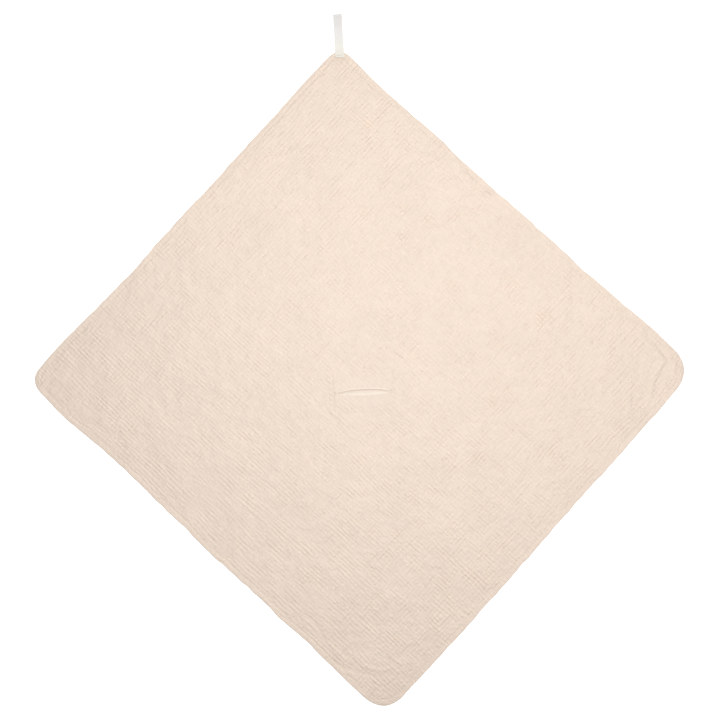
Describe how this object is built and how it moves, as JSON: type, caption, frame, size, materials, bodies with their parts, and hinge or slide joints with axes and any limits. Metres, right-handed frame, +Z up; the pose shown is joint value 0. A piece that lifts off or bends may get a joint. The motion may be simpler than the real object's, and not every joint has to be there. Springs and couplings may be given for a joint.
{
  "type": "hooded baby towel",
  "caption": "Near-square crinkled muslin baby towel with terry lining, a hood in one corner, a hanging loop and a harness slit, spread flat, outer face up.",
  "frame": {"origin": "on the floor under the middle of the towel's outline, hanging loop included", "axes": "+Z up out of the outer face, +Y to the hood corner and its hanging loop, +X to the right-hand corner seen from above"},
  "size_m": [1.0974, 1.1727, 0.0104],
  "materials": {
    "outer_muslin": "crinkled double gauze cotton, matt",
    "terry_lining": "cotton terry with a short loop pile",
    "hood_muslin": "crinkled double gauze cotton, matt",
    "binding": "plain woven cotton binding",
    "tape": "white twill tape",
    "thread": "sewing thread",
    "tape_thread": "sewing thread"
  },
  "bodies": {
    "centre": {"lining_centre": "terry_lining", "outer_centre": "outer_muslin", "topstitch_centre": "thread", "slit_facing": "outer_muslin", "slit_upper_lip": "outer_muslin", "slit_lower_lip": "outer_muslin", "slit_end_tacks": "thread", "slit_box_stitch": "thread"},
    "hood_corner": {"lining_hood_corner": "terry_lining", "outer_hood_corner": "outer_muslin", "topstitch_hood_corner": "thread", "loop_sewn_end": "tape", "loop_tack": "tape_thread"},
    "left_corner": {"lining_left_corner": "terry_lining", "outer_left_corner": "outer_muslin", "topstitch_left_corner": "thread"},
    "right_corner": {"lining_right_corner": "terry_lining", "outer_right_corner": "outer_muslin", "topstitch_right_corner": "thread"},
    "foot_corner": {"lining_foot_corner": "terry_lining", "outer_foot_corner": "outer_muslin", "topstitch_foot_corner": "thread"},
    "hood": {"hood_panel": "hood_muslin", "hood_binding": "binding"},
    "loop": {"hanging_loop": "tape"}
  },
  "joints": [
    {"name": "hood_corner_fold", "type": "hinge", "parent": "centre", "child": "hood_corner", "pos_m": [0, 0.248, 0.0055], "axis": [1, 0, 0], "range_deg": [0, 175]},
    {"name": "left_corner_fold", "type": "hinge", "parent": "centre", "child": "left_corner", "pos_m": [-0.304, 0, 0.0048], "axis": [0, 1, 0], "range_deg": [0, 175]},
    {"name": "right_corner_fold", "type": "hinge", "parent": "centre", "child": "right_corner", "pos_m": [0.29, 0, 0.0048], "axis": [0, -1, 0], "range_deg": [0, 175]},
    {"name": "foot_corner_fold", "type": "hinge", "parent": "centre", "child": "foot_corner", "pos_m": [0, -0.336, 0.0048], "axis": [-1, 0, 0], "range_deg": [0, 175]},
    {"name": "hood_open", "type": "hinge", "parent": "hood_corner", "child": "hood", "pos_m": [-0.013, 0.5195, 0.0022], "axis": [1, 0, 0], "range_deg": [0, 20]},
    {"name": "loop_flip", "type": "hinge", "parent": "hood_corner", "child": "loop", "pos_m": [-0.0097, 0.5192, 0.008], "axis": [1, 0, 0], "range_deg": [0, 178]}
  ]
}
